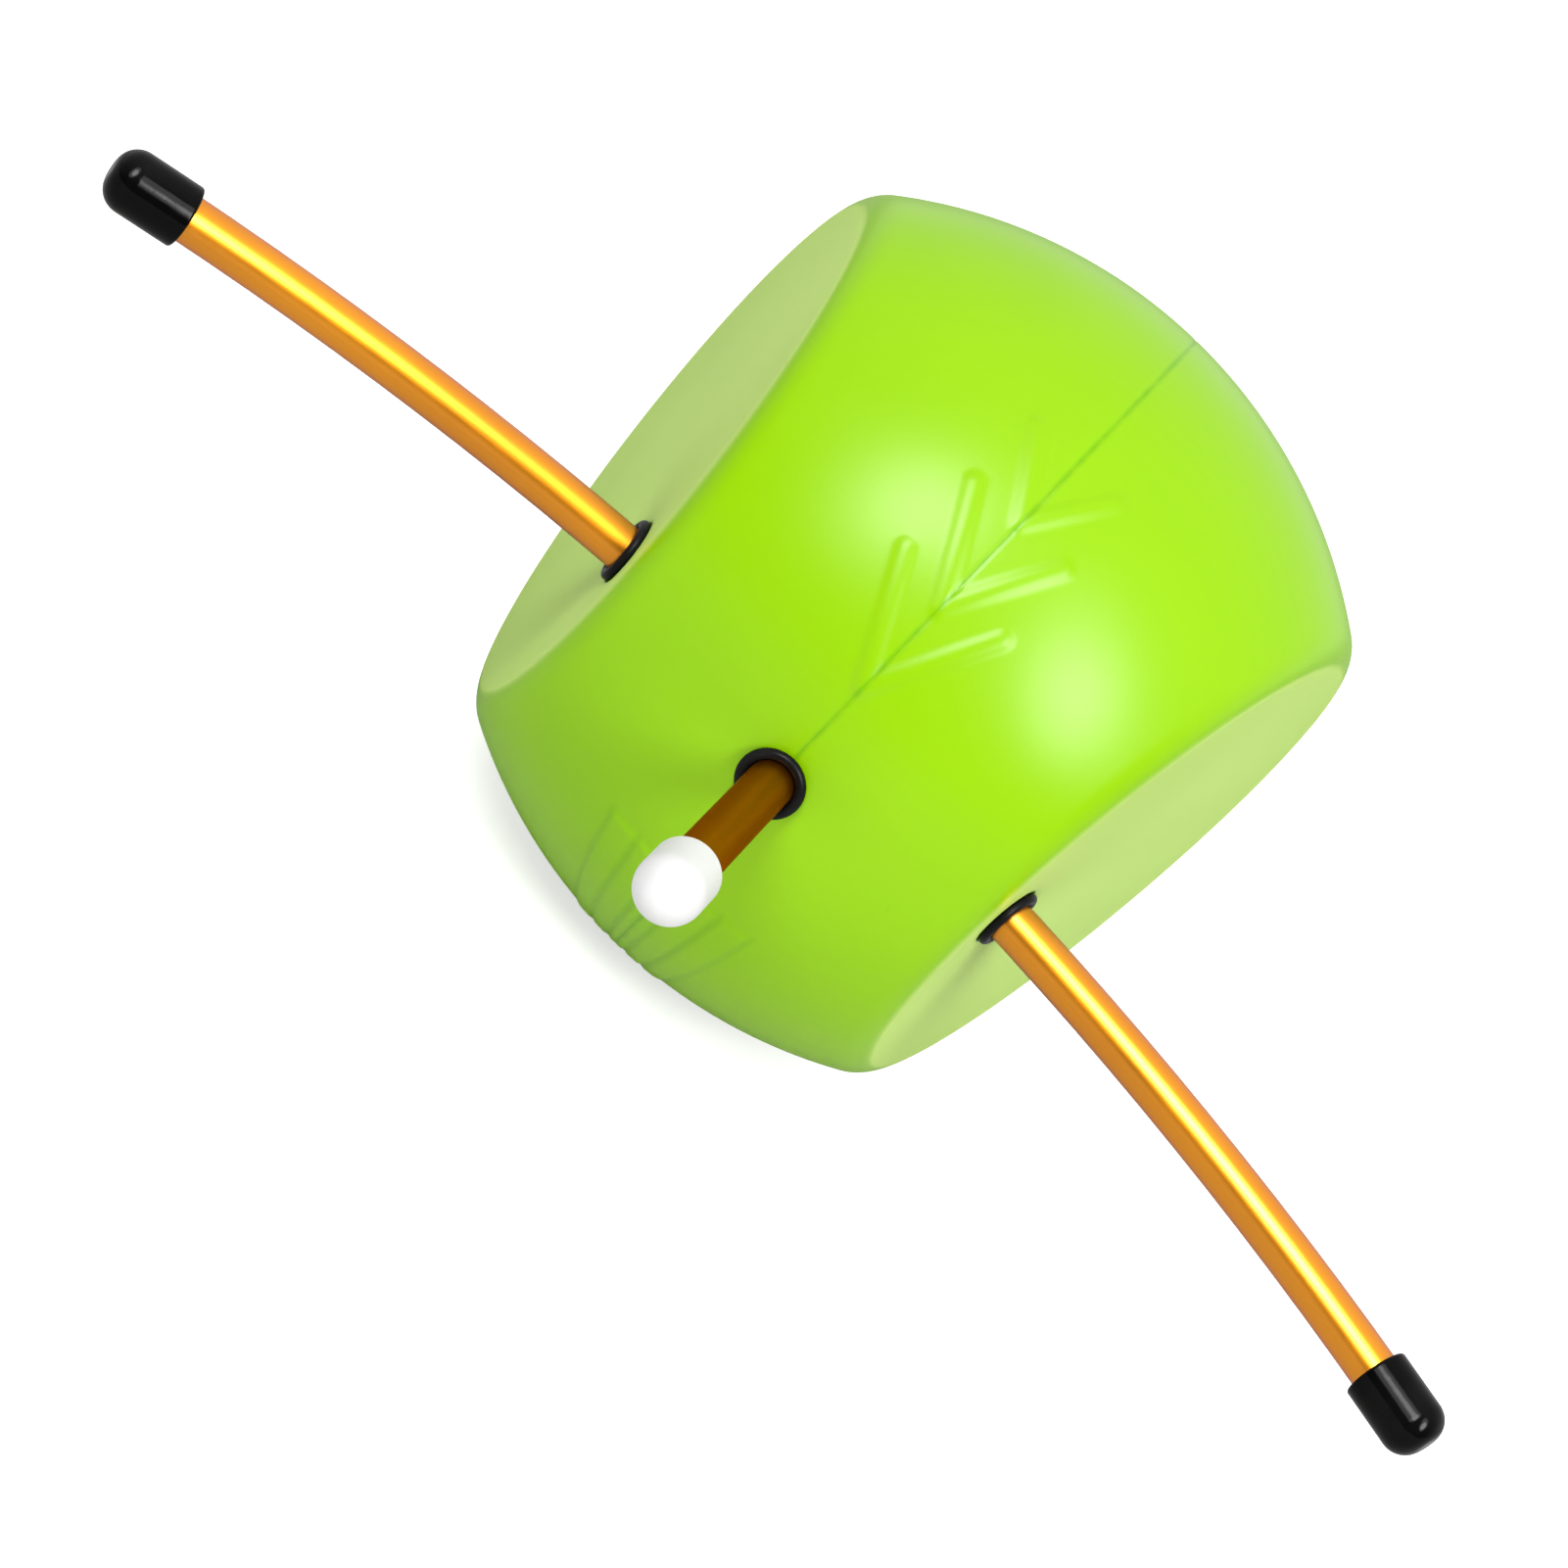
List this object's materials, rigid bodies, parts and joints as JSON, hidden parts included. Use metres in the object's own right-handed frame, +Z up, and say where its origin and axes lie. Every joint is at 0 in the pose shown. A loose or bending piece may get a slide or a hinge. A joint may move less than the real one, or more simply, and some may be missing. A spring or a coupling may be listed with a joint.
{
  "type": "drinking bird desk toy",
  "caption": "Stylised desk bird: hollow lime-green barrel body with raised feathers, a bowed gold tube for wings and a straight beak tube, with rubber rings and push-on caps.",
  "frame": {"origin": "centre of the small flat foot under the body, on the surface that it stands on, at the seam", "axes": "+Z up; -Y is the front, where the beak points; X runs along the wings, from wing tip to wing tip"},
  "size_m": [0.2139, 0.15, 0.1093],
  "materials": {
    "body_green": "satin moulded plastic, lime green",
    "gold_tube": "gold anodised, satin",
    "bronze_tube": "bronze-brown anodised, satin",
    "black_rubber": "black, slight gloss",
    "black_vinyl": "glossy black dipped vinyl",
    "white_vinyl": "soft white dipped vinyl",
    "inner_plastic": "plain dark moulding",
    "ballast_steel": "turned, zinc plated",
    "screw_steel": "zinc plated"
  },
  "bodies": {
    "body": {"shell_left": "body_green", "shell_right": "body_green", "tee_block": "inner_plastic", "ballast": "ballast_steel", "ballast_screws": "screw_steel", "ring_left": "black_rubber", "ring_right": "black_rubber"},
    "wings": {"wing_tube": "gold_tube"},
    "wing_cap_left": {"cap_left": "black_vinyl"},
    "wing_cap_right": {"cap_right": "black_vinyl"},
    "beak_ring": {"ring_front": "black_rubber"},
    "beak": {"beak_tube": "bronze_tube"},
    "beak_cap": {"cap_beak": "white_vinyl"}
  },
  "joints": [
    {"name": "wing_shift", "type": "hinge", "parent": "body", "child": "wings", "pos_m": [0, -0.2699, 0.0543], "axis": [0, 0, 1], "range_deg": [-15, 15.9]},
    {"name": "left_cap_pull", "type": "slide", "parent": "wings", "child": "wing_cap_left", "axis": [-0.9054, -0.4245, 0], "range_m": [0, 0.0085]},
    {"name": "right_cap_pull", "type": "slide", "parent": "wings", "child": "wing_cap_right", "axis": [0.8982, -0.4396, 0], "range_m": [0, 0.0085]},
    {"name": "beak_pull", "type": "slide", "parent": "body", "child": "beak_ring", "axis": [0, -1, 0], "range_m": [0, 0.016]},
    {"name": "beak_turn", "type": "hinge", "parent": "beak_ring", "child": "beak", "pos_m": [0, -0.055, 0.0531], "axis": [0, -1, 0], "continuous": true},
    {"name": "beak_cap_pull", "type": "slide", "parent": "beak", "child": "beak_cap", "axis": [0, -1, 0], "range_m": [0, 0.008]}
  ]
}
